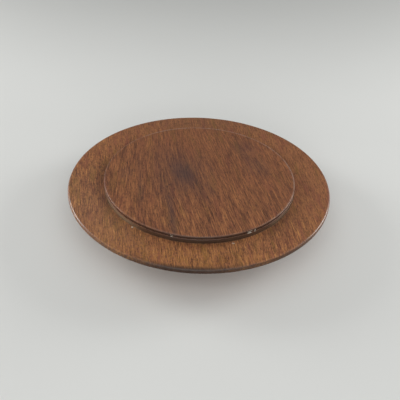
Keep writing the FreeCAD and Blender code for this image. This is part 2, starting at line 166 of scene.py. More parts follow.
class Paint:
    """A material under construction."""

    def __init__(self, name: str) -> None:
        """Starts an empty node tree with the piece's own coordinates ready.

        Args:
            name: The material's name.
        """
        self.material = bpy.data.materials.new(name)
        self.material.use_nodes = True
        self.tree = self.material.node_tree
        self.tree.nodes.clear()
        self.place = self.node("ShaderNodeTexCoord", {}, {}, "Object")
        self.facing = self.node("ShaderNodeTexCoord", {}, {}, "Normal")

    def node(
        self,
        kind: str,
        settings: dict[str, object],
        sockets: dict[str | int, object],
        output: str | int = 0,
    ) -> Wire | None:
        """Adds one node.

        Args:
            kind: The node's type.
            settings: Its properties, set first. "stops" is a colour ramp's positions and colours.
            sockets: Values or wires for its inputs, by name or number.
            output: Which output to return.

        Returns:
            That output, or nothing where the node has none.
        """
        node = self.tree.nodes.new(kind)
        for name, value in settings.items():
            if name == "stops":
                self._set_stops(node.color_ramp, value)
            else:
                setattr(node, name, value)
        for key, value in sockets.items():
            if isinstance(value, Wire):
                self.tree.links.new(value.socket, node.inputs[key])
            else:
                node.inputs[key].default_value = value
        return Wire(self, node.outputs[output]) if node.outputs else None

    @staticmethod
    def _set_stops(ramp: bpy.types.ColorRamp, stops: Sequence[tuple[float, Colour]]) -> None:
        """Gives a colour ramp its stops.

        Args:
            ramp: The ramp.
            stops: The stops' positions and colours.
        """
        while len(ramp.elements) < len(stops):
            ramp.elements.new(1.0)
        for element, (position, colour) in zip(ramp.elements, stops):
            element.position = position
            element.color = colour

    def moved(self, turn: float = 0.0, shift: Sequence[float] = (0, 0, 0)) -> Wire:
        """The piece's own coordinates, shifted by metres and then turned about Z by degrees."""
        sockets = {"Vector": self.place, "Location": shift, "Rotation": (0, 0, math.radians(turn))}
        return self.node("ShaderNodeMapping", {"vector_type": "POINT"}, sockets)

    def vector(self, operation: str, first: Wire, second: object = None, output: str = "Vector") -> Wire:
        """The output of a Vector Math node with one or two vectors."""
        sockets = {0: first} if second is None else {0: first, 1: second}
        return self.node("ShaderNodeVectorMath", {"operation": operation}, sockets, output)

    def noise(
        self,
        place: Wire,
        scale: Sequence[float],
        detail: float = 2.0,
        roughness: float = 0.5,
        distortion: float = 0.0,
    ) -> Wire:
        """Cloudy noise from 0 to 1, about 0.5.

        Args:
            place: The coordinates it reads.
            scale: How many times it repeats in a metre along each axis.
            detail: How many finer layers it has.
            roughness: How strong the finer layers are.
            distortion: How much it is swirled.

        Returns:
            The noise.
        """
        sockets = {"Vector": self.vector("MULTIPLY", place, scale), "Scale": 1.0}
        sockets |= {"Detail": detail, "Roughness": roughness, "Distortion": distortion}
        return self.node("ShaderNodeTexNoise", {}, sockets)

    def part(self, place: Wire, axis: str) -> Wire:
        """One of the three parts, "X", "Y" or "Z", of a vector."""
        return self.node("ShaderNodeSeparateXYZ", {}, {0: place}, axis)

    def radius(self) -> Wire:
        """The distance from the turning axis."""
        level = self.vector("MULTIPLY", self.place, (1, 1, 0))
        return self.vector("LENGTH", level, output="Value")

    def blend(self, share: Wire | Number, under: Wire | Colour, over: Wire | Colour) -> Wire:
        """Lays a share of one colour over another."""
        return self.node("ShaderNodeMix", {"data_type": "RGBA"}, {0: share, 6: under, 7: over}, 2)

    def bump(self, height: Wire, depth: float) -> Wire:
        """A normal that looks raised by a height of 0 to 1, where 1 stands for a depth in metres."""
        return self.node("ShaderNodeBump", {}, {"Strength": 1.0, "Distance": depth, "Height": height})

    def surface(self, sockets: dict[str, object]) -> bpy.types.Material:
        """Ends the material in one surface shader.

        Args:
            sockets: The shader's values and wires.

        Returns:
            The finished material.
        """
        shader = self.node("ShaderNodeBsdfPrincipled", {}, sockets)
        self.node("ShaderNodeOutputMaterial", {}, {"Surface": shader})
        return self.material


# ---------------------------------------- finishes


class Along(Enum):
    """What a fade runs along."""

    RADIUS = "radius"
    HEIGHT = "height"
    UPWARDS = "how far a face looks upwards"


@dataclass(frozen=True)
class Fade:
    """Where something fades in: from none at one radius, level or slope to all of it at another."""

    along: Along
    none: float
    full: float

    def share(self, paint: Paint) -> Wire:
        """How much of it there is at each place.

        Args:
            paint: The material.

        Returns:
            The share, 0 to 1.
        """
        if self.along is Along.RADIUS:
            return paint.radius().rise(self.none, self.full)
        vector = paint.place if self.along is Along.HEIGHT else paint.facing
        return paint.part(vector, "Z").rise(self.none, self.full)


@dataclass(frozen=True)
class Mark:
    """A soft-edged oval on the wood, in millimetres from the turning axis.

    The lean is in degrees, and positive where the oval runs from the far left to the near right.
    """

    x: float
    y: float
    width: float
    length: float
    strength: float
    lean: float = 0.0
    softness: float = 0.9

    def share(self, paint: Paint, wander: Wire) -> Wire:
        """How strong the mark is at each place.

        Args:
            paint: The material.
            wander: What its edge wanders by, 0 to 1.

        Returns:
            The strength, 0 to 1.
        """
        settings = {"rotation_type": "Z_AXIS"}
        centred = paint.moved(0.0, (-self.x * MM, -self.y * MM, 0))
        sockets = {"Vector": centred, "Angle": -math.radians(self.lean)}
        leaned = paint.node("ShaderNodeVectorRotate", settings, sockets)
        oval = paint.vector("MULTIPLY", leaned, (2 / (self.width * MM), 2 / (self.length * MM), 0))
        reach = paint.vector("LENGTH", oval, output="Value")
        edge = reach + (wander - 0.5) * (EDGE_WANDER * self.softness)
        return edge.rise(1 + EDGE_FADE * self.softness, 1 - self.softness) * self.strength


@dataclass(frozen=True)
class Coat:
    """Something over the wood's own colour: a stain, a glow, wear, dust, crumbs, painted shade or a painted
    highlight.

    It has its strength wherever its fades let it, and more at its marks. It roughens the wood by what
    it is dull by. Patches are how many there are in a metre, and the two noise values between which one
    goes from none to full.
    """

    colour: Colour
    strength: float = 0.0
    dull: float = 0.0
    fades: tuple[Fade, ...] = ()
    marks: tuple[Mark, ...] = ()
    patches: tuple[float, float, float] | None = None

    def share(self, paint: Paint, wander: Wire) -> Wire:
        """How much of the coat shows at each place.

        Args:
            paint: The material.
            wander: What the edges of its marks wander by, 0 to 1.

        Returns:
            The share, 0 to 1.
        """
        share: Wire | float = self.strength
        for mark in self.marks:
            share = mark.share(paint, wander) + share
        for fade in self.fades:
            share = fade.share(paint) * share
        if self.patches:
            count, low, high = self.patches
            share = paint.noise(paint.place, (count, count, count), 3.0, 0.6).rise(low, high) * share
        return share.held()


def at_radius(none: float, full: float) -> Fade:
    """A fade between two radii in millimetres."""
    return Fade(Along.RADIUS, none * MM, full * MM)


def at_height(none: float, full: float) -> Fade:
    """A fade between two heights in millimetres."""
    return Fade(Along.HEIGHT, none * MM, full * MM)


TOP_FACES = Fade(Along.UPWARDS, 0.3, 0.8)
SIDE_FACES = Fade(Along.UPWARDS, 0.5, 0.1)


@dataclass(frozen=True)
class Layer:
    """One layer of the grain: how wide and how long its marks are, in millimetres, and how strong it is."""

    width: float
    length: float
    strength: float
    detail: float = 2.0


@dataclass(frozen=True)
class Timber:
    """An oiled dark brown hardwood whose grain runs level, with pores and whatever coats lie on it.

    The figure is plainer towards the far right by the share "plain", and the fibres lean less on the
    left by the swing, in degrees. A scale is how many patches there are in a metre along each axis.
    """

    name: str
    lean: float
    shift: Triple
    tones: tuple[tuple[float, Colour], ...]
    layers: tuple[Layer, ...]
    coats: tuple[Coat, ...] = ()
    polish: Coat | None = None
    polish_roughness: float = 0.22
    ruddy: Colour = tint(128, 72, 58)
    olive: Colour = tint(126, 94, 46)
    hue_share: float = 0.55
    hue_scale: Triple = (150, 28, 150)
    pore: Colour = tint(58, 36, 27)
    pore_share: float = 0.6
    pore_scale: Triple = (1500, 190, 1500)
    end_grain: Colour = tint(54, 36, 27)
    end_share: float = 0.85
    wander_scale: Triple = (90, 18, 90)
    roughness: float = 0.42
    scuff_scale: Triple = (70, 40, 70)
    gloss: float = 0.35
    relief: float = 0.05 * MM
    plain: float = 0.0
    plain_towards: Triple = (-0.6, -1.0, 0.0)
    plain_start: float = 90 * MM
    plain_end: float = -60 * MM
    swing: float = 0.0
    swing_start: float = -90 * MM
    swing_end: float = 10 * MM

    def _grain(self, paint: Paint) -> Wire:
        """Coordinates whose Y runs along the fibres.

        Args:
            paint: The material.

        Returns:
            The coordinates.
        """
        grain = paint.moved(-self.lean, self.shift)
        if not self.swing:
            return grain
        left = paint.part(paint.place, "X").rise(self.swing_end, self.swing_start)
        slope = left * -math.tan(math.radians(self.swing))
        sway = paint.node("ShaderNodeCombineXYZ", {}, {0: paint.part(paint.place, "Y") * slope})
        return paint.vector("ADD", grain, sway)

    def _tone(self, paint: Paint, grain: Wire) -> Wire:
        """The lightness of the figure, from its layers.

        Args:
            paint: The material.
            grain: The grain's coordinates.

        Returns:
            The lightness, 0 to 1 and about 0.5.
        """
        tone: Wire | float = 0.0
        for layer in self.layers:
            across, along = 1 / (layer.width * MM), 1 / (layer.length * MM)
            noise = paint.noise(grain, (across, along, across), layer.detail, 0.58, 0.15)
            tone = (noise - 0.5) * layer.strength + tone
        if self.plain:
            near = paint.vector("DOT_PRODUCT", paint.place, self.plain_towards, "Value")
            tone = tone * (1 - self.plain * near.rise(self.plain_start, self.plain_end))
        return (tone + 0.5).held()

    def _ends(self, paint: Paint) -> Wire:
        """How far each face cuts across the fibres.

        Args:
            paint: The material.

        Returns:
            The share, 0 to 1.
        """
        lean = math.radians(self.lean)
        fibres = (math.sin(lean), -math.cos(lean), 0.0)
        ends = paint.vector("DOT_PRODUCT", paint.facing, fibres, "Value")
        return ends.math("ABSOLUTE").rise(0.15, 0.85)

    def material(self) -> bpy.types.Material:
        """Mixes the figure, the pores, the end grain and the coats.

        Returns:
            The wood's material.
        """
        paint = Paint(self.name)
        grain = self._grain(paint)
        tone = self._tone(paint, grain)
        hue = paint.noise(grain, self.hue_scale, 3.0, 0.6)
        pore = paint.noise(grain, self.pore_scale, 1.0, 0.5).rise(0.58, 0.68)
        colour = paint.node("ShaderNodeValToRGB", {"stops": self.tones}, {0: tone})
        for share, over in (
            (hue.rise(0.52, 0.72) * self.hue_share, self.ruddy),
            (hue.rise(0.48, 0.28) * self.hue_share, self.olive),
            (pore * self.pore_share, self.pore),
            (self._ends(paint) * self.end_share, self.end_grain),
        ):
            colour = paint.blend(share, colour, over)
        wander = paint.noise(grain, self.wander_scale, 4.0, 0.62)
        scuffs = paint.noise(paint.place, self.scuff_scale, 4.0, 0.7)
        roughness = self.roughness + 0.16 * (scuffs - 0.5) + 0.15 * pore
        for coat in self.coats:
            share = coat.share(paint, wander)
            colour = paint.blend(share, colour, coat.colour)
            if coat.dull:
                roughness = roughness + coat.dull * share

        sockets = {
            "Base Color": colour,
            "Roughness": roughness.held(),
            "Specular IOR Level": self.gloss,
            "Normal": paint.bump(0.7 * (1 - pore) + 0.3 * tone, self.relief),
        }
        if self.polish:
            sockets["Coat Weight"] = self.polish.share(paint, wander)
            sockets["Coat Roughness"] = self.polish_roughness
        return paint.surface(sockets)


@dataclass(frozen=True)
class Metal:
    """A plated or polished metal with clouded plating, fine scratches and a little grime."""

    name: str
    bright: Colour
    dull: Colour
    roughness: float
    mottle: float = 0.5
    cloud_scale: Triple = (130, 130, 130)
    spangle_scale: Triple = (900, 900, 900)
    scratch_scale: Triple = (2600, 90, 2600)
    scratch_turn: float = 33.0
    relief: float = 0.01 * MM

    def material(self) -> bpy.types.Material:
        """Mixes the plating's tones and its scratches.

        Returns:
            The metal's material.
        """
        paint = Paint(self.name)
        clouds = paint.noise(paint.place, self.cloud_scale, 4.0, 0.6, 0.4)
        spangle = paint.noise(paint.place, self.spangle_scale, 2.0, 0.55)
        scratches = paint.noise(paint.moved(self.scratch_turn), self.scratch_scale, 2.0, 0.5)
        tone = (clouds.rise(0.35, 0.7) * self.mottle + spangle.rise(0.4, 0.7) * 0.3).held()
        scratch = scratches.rise(0.66, 0.74)
        sockets = {
            "Base Color": paint.blend(tone, self.bright, self.dull),
            "Metallic": 1.0,
            "Roughness": (self.roughness + 0.12 * tone + 0.1 * scratch).held(),
            "Normal": paint.bump(spangle * 0.4 + (1 - scratch) * 0.6, self.relief),
        }
        return paint.surface(sockets)


@dataclass(frozen=True)
class Moulding:
    """A moulded rubber or plastic with a fine satin texture and patches of dust."""

    name: str
    colour: Colour
    dusty: Colour
    roughness: float
    dust: float = 0.35
    dust_scale: Triple = (260, 260, 260)
    texture_scale: Triple = (2800, 2800, 2800)
    gloss: float = 0.4
    relief: float = 0.03 * MM

    def material(self) -> bpy.types.Material:
        """Mixes the moulded texture and the dust.

        Returns:
            The moulding's material.
        """
        paint = Paint(self.name)
        texture = paint.noise(paint.place, self.texture_scale, 2.0, 0.6)
        settled = paint.noise(paint.place, self.dust_scale, 4.0, 0.65).rise(0.48, 0.75) * self.dust
        sockets = {
            "Base Color": paint.blend(settled, self.colour, self.dusty),
            "Roughness": (self.roughness + 0.12 * (texture - 0.5) + 0.1 * settled).held(),
            "Specular IOR Level": self.gloss,
            "Normal": paint.bump(texture, self.relief),
        }
        return paint.surface(sockets)


@dataclass(frozen=True)
class Paper:
    """The pale matt paper that the stand is shown on, with shade painted on towards the back."""

    name: str
    colour: Colour
    shade: Colour
    far: Colour
    far_start: float = 0.22
    far_end: float = 0.75
    cloud_scale: Triple = (2.2, 2.2, 2.2)
    roughness: float = 0.9
    gloss: float = 0.2

    def material(self) -> bpy.types.Material:
        """Mixes very close tones, and paints shade on towards the back.

        Returns:
            The paper's material.
        """
        paint = Paint(self.name)
        clouds = paint.noise(paint.place, self.cloud_scale, 3.0, 0.55)
        colour = paint.blend(clouds.rise(0.3, 0.75), self.colour, self.shade)
        # painted shade: the paper darkens towards the back
        back = paint.part(paint.place, "Y").rise(self.far_start, self.far_end)
        sockets = {
            "Base Color": paint.blend(back, colour, self.far),
            "Roughness": self.roughness,
            "Specular IOR Level": self.gloss,
        }
        return paint.surface(sockets)


PLATTER_WOOD = Timber(
    name="platter_oiled_hardwood",
    lean=8.0,
    plain=0.5,
    shift=(0.31, 0.12, 0.05),
    tones=shades((82, 49, 34), (121, 76, 50), (145, 96, 64), (164, 109, 68), (189, 132, 80)),
    layers=(
        Layer(16, 130, 0.5),
        Layer(2.2, 40, 0.6),
        Layer(1.0, 17, 1.8, 1.0),
        Layer(0.8, 2.8, 1.25, 1.0),
    ),
    coats=(
        Coat(
            GOLD,
            marks=(Mark(-10, -124, 180, 44, 0.5, 0, 0.8), Mark(-84, -92, 90, 80, 0.5)),
            patches=(420, 0.4, 0.65),
        ),
        # painted highlight: a faint pale sheen laid over the left-front of the platter
        Coat(WEAR_AND_HIGHLIGHT, marks=(Mark(-104, -64, 90, 170, 0.1, 24),)),
        Coat(STAIN, marks=(Mark(0, 126, 220, 44, 0.16),)),
        # painted shade: the platter darkened round the foot of the display disc, most at the front-right, the
        # left and the back-right
        Coat(
            PAINTED_SHADE,
            strength=0.05,
            fades=(TOP_FACES, at_radius(117, 104)),
            marks=(
                Mark(87, -58, 44, 60, 0.35, -40),
                Mark(-96, -42, 34, 70, 0.35, 26),
                Mark(-106, 10, 20, 60, 0.3, 0, 0.8),
                Mark(84, 80, 40, 70, 0.3, 40),
            ),
        ),
        # painted shade: the front of the rim, its edges and its side darkened, and made duller
        Coat(
            PAINTED_SHADE,
            dull=0.4,
            fades=(Fade(Along.UPWARDS, -0.9, -0.4), at_radius(133, 139)),
            marks=(Mark(-6, -142, 150, 42, 0.85),),
        ),
        Coat(
            DUST, 0.3, fades=(TOP_FACES, at_radius(103.6, 101.9)), patches=(260, 0.2, 0.6)
        ),
        Coat(
            CRUMB,
            fades=(TOP_FACES,),
            marks=(Mark(-64, -81.5, 2.6, 2.6, 0.6, 0, 0.3), Mark(35.1, -99.6, 3, 2.4, 0.5, 0, 0.3)),
            patches=(1300, 0.4, 0.5),
        ),
    ),
    polish=Coat(CRUMB, 0.6, fades=(at_radius(137.5, 138.6), Fade(Along.UPWARDS, 0.45, 0.65))),
)

DISPLAY_WOOD = Timber(
    name="display_oiled_hardwood",
    lean=14.0,
    plain=0.2,
    hue_share=0.28,
    swing=10.0,
    shift=(0.07, 0.4, 0.11),
    tones=shades((75, 47, 33), (110, 69, 47), (133, 85, 57), (150, 97, 62), (175, 120, 76)),
    layers=(
        Layer(13, 150, 0.3),
        Layer(2.0, 60, 0.35),
        Layer(0.75, 16, 1.7, 1.0),
        Layer(0.9, 2.5, 0.6, 1.0),
    ),
    coats=(
        Coat(
            STAIN,
            marks=(
                Mark(-16, 5, 26, 40, 0.3, 24, 1.0),
                Mark(-21, 2, 68, 108, 0.45, 20, 1.0),
                Mark(-26, -66, 10, 80, 0.5, 7, 0.8),
                Mark(-60, -30, 9, 60, 0.25, 5, 0.8),
                Mark(50, 58, 34, 44, 0.26, 10),
                Mark(62, 25, 30, 40, 0.3, 10),
                Mark(-78, 0, 14, 26, 0.2, 5, 0.8),
            ),
        ),
        # dust on the lower wall, and at the left-front and the right a painted reflection that makes the wall
        # paler
        Coat(
            DUST,
            strength=0.1,
            fades=(SIDE_FACES, at_height(44.2, 43)),
            marks=(Mark(-84, -60, 70, 80, 0.5, 0, 0.6), Mark(92, -44, 70, 70, 0.25, 0, 0.6)),
            patches=(260, 0.1, 0.5),
        ),
        # painted shade: the disc's side darkened towards the front
        Coat(PAINTED_SHADE, fades=(SIDE_FACES, at_height(46.5, 45.5)), marks=(Mark(8, -104, 130, 64, 0.6),)),
        # painted shade: the groove under the lip darkened all round
        Coat(
            PAINTED_SHADE,
            strength=0.9,
            fades=(at_radius(101.6, 100.9), at_height(43.9, 44.4), at_height(45.9, 45.5)),
        ),
        Coat(
            CRUMB,
            fades=(at_height(46.8, 46.4), at_height(43.8, 44.4)),
            marks=(
                Mark(51.2, -88, 5.5, 2.4, 1.0, 30, 0.3),
                Mark(56.4, -84.8, 2, 2, 1.0, 0, 0.3),
                Mark(-24.6, -98.8, 2.4, 2.4, 0.7, 0, 0.3),
            ),
            patches=(1300, 0.36, 0.46),
        ),
        # wear, and a painted highlight along the rounded top edge, strongest to the right and at the back
        Coat(
            WEAR_AND_HIGHLIGHT,
            strength=0.15,
            marks=(Mark(88, 26, 80, 180, 0.4, 0, 0.8), Mark(-8, 98, 210, 90, 0.6, 0, 0.8)),
            fades=(at_radius(99.4, 100.9), Fade(Along.UPWARDS, 0.45, 0.8)),
            patches=(160, 0.2, 0.6),
        ),
    ),
)


# ---------------------------------------- mesh shaping


@dataclass(frozen=True)
class Corner:
    """A corner of a turned profile, and how far from it its rounding starts."""

    radius: float
    height: float
    ease: float = 0.0
    cuts: int = 6


@dataclass(frozen=True)
class Hole:
    """A round hole in a flat face: its middle, its radius and the number of its facets."""

    x: float
    y: float
    radius: float
    steps: int = SMALL_STEPS


class Shape:
    """A mesh under construction, with the operations that the turned and stamped pieces share."""

    def __init__(self) -> None:
        """Starts with nothing."""
        self.bm: BMesh = bmesh.new()

    def _spin(
        self, profile: Sequence[Part], angle: float, steps: int, climb: float = 0.0, merge: bool = False
    ) -> list[Part]:
        """Sweeps a profile round the Z axis.

        Args:
            profile: Its vertices and edges.
            angle: How far it turns.
            steps: How many facets the sweep has.
            climb: How far each step climbs.
            merge: Whether the end joins the start.

        Returns:
            The vertices and edges that it ends in.
        """
        axis = {"cent": (0, 0, 0), "axis": (0, 0, 1), "dvec": (0, 0, climb)}
        sweep = {"angle": angle, "steps": steps, "use_merge": merge, "use_duplicate": False}
        return bmesh.ops.spin(self.bm, geom=profile, **axis, **sweep)["geom_last"]

    def _extrude(self, edges: Sequence[BMEdge]) -> tuple[list[BMVert], list[BMEdge]]:
        """Extrudes edges, in place.

        Args:
            edges: The edges.

        Returns:
            The new vertices and the new edges.
        """
        made = bmesh.ops.extrude_edge_only(self.bm, edges=edges)["geom"]
        verts = [item for item in made if isinstance(item, BMVert)]
        return verts, [item for item in made if isinstance(item, BMEdge)]

    def lathe(self, *corners: Corner, steps: int = ROUND_STEPS, closed: bool = False) -> "Shape":
        """Turns a profile a full turn about the Z axis, and rounds its corners.

        Args:
            corners: The profile's corners in order.
            steps: How many facets go round.
            closed: Whether the last corner joins the first.

        Returns:
            The shape.
        """
        verts = [self.bm.verts.new((c.radius, 0, c.height)) for c in corners]
        pairs = list(zip(verts, verts[1:]))
        if closed:
            pairs.append((verts[-1], verts[0]))
        edges = [self.bm.edges.new(pair) for pair in pairs]
        self._spin(verts + edges, FULL_TURN, steps, merge=True)
        bmesh.ops.remove_doubles(self.bm, verts=self.bm.verts, dist=SAME_PLACE)
        for corner in corners:
            if corner.ease:
                self.ease(self.ring(corner.radius, corner.height), corner.ease, corner.cuts)
        return self

    def ring(self, radius: float, height: float, x: float = 0.0, y: float = 0.0) -> list[BMEdge]:
        """The edges that run round an upright axis at one radius and height.

        Args:
            radius: The ring's radius.
            height: Its height.
            x: Where its axis is.
            y: Where its axis is.

        Returns:
            Its edges.
        """

        def on_ring(vert: BMVert) -> bool:
            """Whether a vertex lies on the ring."""
            reach = math.hypot(vert.co.x - x, vert.co.y - y)
            return abs(reach - radius) < SAME_PLACE and abs(vert.co.z - height) < SAME_PLACE

        return [edge for edge in self.bm.edges if all(on_ring(vert) for vert in edge.verts)]

    def ease(self, parts: Iterable[Part], offset: float, cuts: int, affect: str = "EDGES") -> None:
        """Rounds edges or corners.

        Args:
            parts: The edges, or the vertices.
            offset: How far from them the rounding starts.
            cuts: How many facets it has.
            affect: Which of the two are rounded.
        """
        size = {"offset": offset, "offset_type": "OFFSET", "clamp_overlap": True}
        look = {"segments": cuts, "profile": 0.5, "affect": affect, "material": -1}
        bmesh.ops.bevel(self.bm, geom=list(parts), **size, **look)

    def fill(self, edges: Sequence[BMEdge]) -> None:
        """Fills level loops of edges with one flat face."""
        bmesh.ops.triangle_fill(self.bm, edges=edges, use_beauty=True, use_dissolve=False)

    def punch(self, edges: Sequence[BMEdge], height: float, holes: Sequence[Hole]) -> None:
        """Fills a level loop with a flat face that has round holes in it.

        Args:
            edges: The loop's edges.
            height: Its level.
            holes: The holes.
        """
        rims = list(edges)
        for hole in holes:
            place = Matrix.Translation((hole.x, hole.y, height))
            size = {"segments": hole.steps, "radius": hole.radius}
            made = bmesh.ops.create_circle(self.bm, cap_ends=False, matrix=place, **size)
            rims += dict.fromkeys(edge for vert in made["verts"] for edge in vert.link_edges)
        self.fill(rims)

    def sink(self, hole: Hole, height: float, steps: Sequence[tuple[float, float]]) -> None:
        """Draws a hole's rim on through a few radii and heights, and closes it at the last.

        Args:
            hole: The hole.
            height: The level of its rim.
            steps: The radii and heights, in order.
        """
        rim = self.ring(hole.radius, height, hole.x, hole.y)
        for radius, level in steps:
            verts, rim = self._extrude(rim)
            for vert in verts:
                arm = Vector((vert.co.x - hole.x, vert.co.y - hole.y, 0)).normalized() * radius
                vert.co = Vector((hole.x, hole.y, level)) + arm
        bmesh.ops.contextual_create(self.bm, geom=rim)

    def walls(self, holes: Sequence[Hole], low: float, high: float) -> None:
        """Gives holes their walls between two levels.

        Args:
            holes: The holes.
            low: The lower level.
            high: The upper level.
        """
        for hole in holes:
            rims = [self.ring(hole.radius, level, hole.x, hole.y) for level in (low, high)]
            bmesh.ops.bridge_loops(self.bm, edges=rims[0] + rims[1])

    def slab(
        self, outline: Sequence[BMEdge], thickness: float, ring: float, holes: Sequence[Hole]
    ) -> list[BMEdge]:
        """Makes a flat plate with round holes between an outline and a ring that stands inside it.

        The ring is already there at both of the plate's levels. The outline lies at level 0.

        Args:
            outline: The outline's edges.
            thickness: The plate's thickness.
            ring: The ring's radius.
            holes: The holes.

        Returns:
            The outline's edges at both levels.
        """
        verts, top = self._extrude(outline)
        bmesh.ops.translate(self.bm, vec=(0, 0, thickness), verts=verts)
        for edges, level in ((outline, 0), (top, thickness)):
            self.punch([*edges, *self.ring(ring, level)], level, holes)
        self.walls(holes, 0, thickness)
        return [*outline, *top]

    def cross(self, length: float, width: float, level: float, depth: float) -> list[BMEdge]:
        """Makes a tapered cross-shaped recess that opens downwards.

        Args:
            length: How long its arms are, end to end.
            width: How wide an arm is.
            level: The level of its mouth.
            depth: How deep it is.

        Returns:
            The edges of its mouth.
        """
        tips = 0.4  # past this, a line of the grid is one of its outer ones
        taper = 0.55  # how much smaller the recess is at its floor
        grid = bmesh.ops.create_grid(self.bm, x_segments=3, y_segments=3, size=0.5)["verts"]
        corners = [vert for vert in grid if abs(vert.co.x) > tips and abs(vert.co.y) > tips]
        kept = [vert for vert in grid if vert not in corners]
        bmesh.ops.delete(self.bm, geom=corners, context="VERTS")
        for vert in kept:
            for axis in (0, 1):
                reach = length / 2 if abs(vert.co[axis]) > tips else width / 2
                vert.co[axis] = math.copysign(reach, vert.co[axis])
            vert.co.z = level
        faces = list(dict.fromkeys(face for vert in kept for face in vert.link_faces))
        mouth = [edge for face in faces for edge in face.edges if edge.is_boundary]
        bmesh.ops.delete(self.bm, geom=faces, context="FACES_ONLY")
        inner = [edge for vert in kept for edge in vert.link_edges if edge not in mouth]
        bmesh.ops.delete(self.bm, geom=list(dict.fromkeys(inner)), context="EDGES")
        verts, floor = self._extrude(mouth)
        for vert in verts:
            vert.co = Vector((vert.co.x * taper, vert.co.y * taper, level + depth))
        bmesh.ops.contextual_create(self.bm, geom=floor)
        return mouth

    def thread(self, root: float, crest: float, pitch: float, start: float, end: float) -> None:
        """Winds a wood screw's thread round the Z axis.

        Args:
            root: The radius that it rises from.
            crest: The radius of its edge.
            pitch: How far it climbs in a turn.
            start: Where it starts.
            end: Where it ends.
        """
        turns = int((end - start) / pitch)
        flank = 0.3 * pitch
        profile = [(root, start), (crest, start + flank), (root, start + 2 * flank)]
        verts = [self.bm.verts.new((radius, 0, level)) for radius, level in profile]
        edges = [self.bm.edges.new((verts[i], verts[i - 1])) for i in range(3)]
        self.bm.faces.new(verts)
        climb = pitch / THREAD_STEPS
        last = self._spin(verts + edges, FULL_TURN * turns, THREAD_STEPS * turns, climb)
        bmesh.ops.contextual_create(self.bm, geom=[item for item in last if isinstance(item, BMEdge)])

    def moved(self, matrix: Matrix) -> "Shape":
        """Moves everything, and returns the shape."""
        bmesh.ops.transform(self.bm, matrix=matrix, verts=self.bm.verts)
        return self

    def piece(self, name: str, body: Body, slot: str, node: str, material: bpy.types.Material) -> None:
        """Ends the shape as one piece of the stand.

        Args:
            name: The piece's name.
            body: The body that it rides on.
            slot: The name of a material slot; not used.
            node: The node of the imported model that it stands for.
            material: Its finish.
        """
        bmesh.ops.recalc_face_normals(self.bm, faces=self.bm.faces)
        mesh = bpy.data.meshes.new(name)
        self.bm.to_mesh(mesh)
        self.bm.free()
        mesh.shade_smooth()
        mesh.set_sharp_from_angle(angle=SHARP)
        mesh.materials.append(material)
        piece = added(name, mesh)
        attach(piece, body.value)
        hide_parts(node)
        LOG.info("%s: %d faces on %s", name, len(mesh.polygons), body.value)


def added(name: str, data: bpy.types.ID) -> bpy.types.Object:
    """Makes an object, and puts it in the scene.

    Args:
        name: Its name.
        data: Its mesh, light or camera.

    Returns:
        The object.
    """
    made = bpy.data.objects.new(name, data)
    bpy.context.scene.collection.objects.link(made)
    return made


def dress(nodes: Iterable[str], material: bpy.types.Material) -> None:
    """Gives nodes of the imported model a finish, in place of the plain one.

    Args:
        nodes: The nodes.
        material: The finish.
    """
    for name in nodes:
        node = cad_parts[name]
        if not node.material_slots:
            node.data.materials.append(None)
        for slot in node.material_slots:
            slot.material = material
        LOG.info("%s: finished in %s", name, material.name)


def named(start: str) -> list[str]:
    """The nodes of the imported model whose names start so."""
    return [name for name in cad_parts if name.startswith(start)]


def middle_of(node: str) -> Vector:
    """The middle of a node's box."""
    low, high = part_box(node)
    return (low + high) / 2


def upright(x: float, y: float, z: float, turn: float = 0.0, over: bool = False) -> Matrix:
    """A move to a place after a turn about Z in radians, and after turning upside down if asked."""
    flip = Matrix.Rotation(math.pi, 4, "X") if over else Matrix.Identity(4)
    return Matrix.Translation((x, y, z)) @ Matrix.Rotation(turn, 4, "Z") @ flip


# ---------------------------------------- sub-assemblies


@dataclass
class Platter:
    """The wide turned disc that everything on top rides on."""

    rim_thickness: float = 5.2 * MM
    rim_top_round: float = 2.2 * MM
    rim_bottom_round: float = 1.8 * MM
    rim_flat: float = 4 * MM
    flat_radius: float = 89 * MM
    support: float = 1 * MM
    seat_clearance: float = 0.1 * MM
    seat_round: float = 0.15 * MM
    screw_hole_radius: float = 1.95 * MM
    screw_hole_depth: float = 1 * MM
    countersink_radius: float = 3.65 * MM
    countersink_lip: float = 0.32 * MM
    countersink_depth: float = 2.02 * MM
    wood: Timber = PLATTER_WOOD

    def build(self) -> None:
        """Turns the platter, and sinks its screw holes."""
        low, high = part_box("platter")
        radius, top, bottom = high.y, high.z, low.z
        disc_low, disc_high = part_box("display_disc")
        seat, floor = disc_high.y + self.seat_clearance, disc_low.z
        rim, rim_bottom = radius - self.rim_flat, top - self.rim_thickness
        flat, support = self.flat_radius, self.support
        slope = (rim_bottom - bottom) / (radius - flat)
        shape = Shape().lathe(
            Corner(flat - support, bottom),
            Corner(flat, bottom),
            Corner(flat + support, bottom + slope * support),
            Corner(rim - support, rim_bottom - slope * (self.rim_flat + support)),
            Corner(rim, rim_bottom - slope * self.rim_flat),
            Corner(radius, rim_bottom, self.rim_bottom_round, 6),
            Corner(radius, top, self.rim_top_round, 8),
            Corner(rim, top),
            Corner(rim - self.rim_flat, top),
            Corner(seat + support, top),
            Corner(seat, top, self.seat_round, 2),
            Corner(seat, floor),
            Corner(0, floor),
        )
        places = [middle_of(name) for name in named("display_screw")]
        holes = [Hole(place.x, place.y, self.countersink_radius) for place in places]
        shape.punch(shape.ring(flat - support, bottom), bottom, holes)
        depth = bottom + self.countersink_depth
        steps = [
            (self.countersink_radius, bottom + self.countersink_lip),
            (self.screw_hole_radius, depth),
            (self.screw_hole_radius, depth + self.screw_hole_depth),
        ]
        for hole in holes:
            shape.sink(hole, bottom, steps)
        wood = self.wood.material()
        shape.piece("turned_platter", Body.TURNTABLE, "platter_wood", "platter", wood)


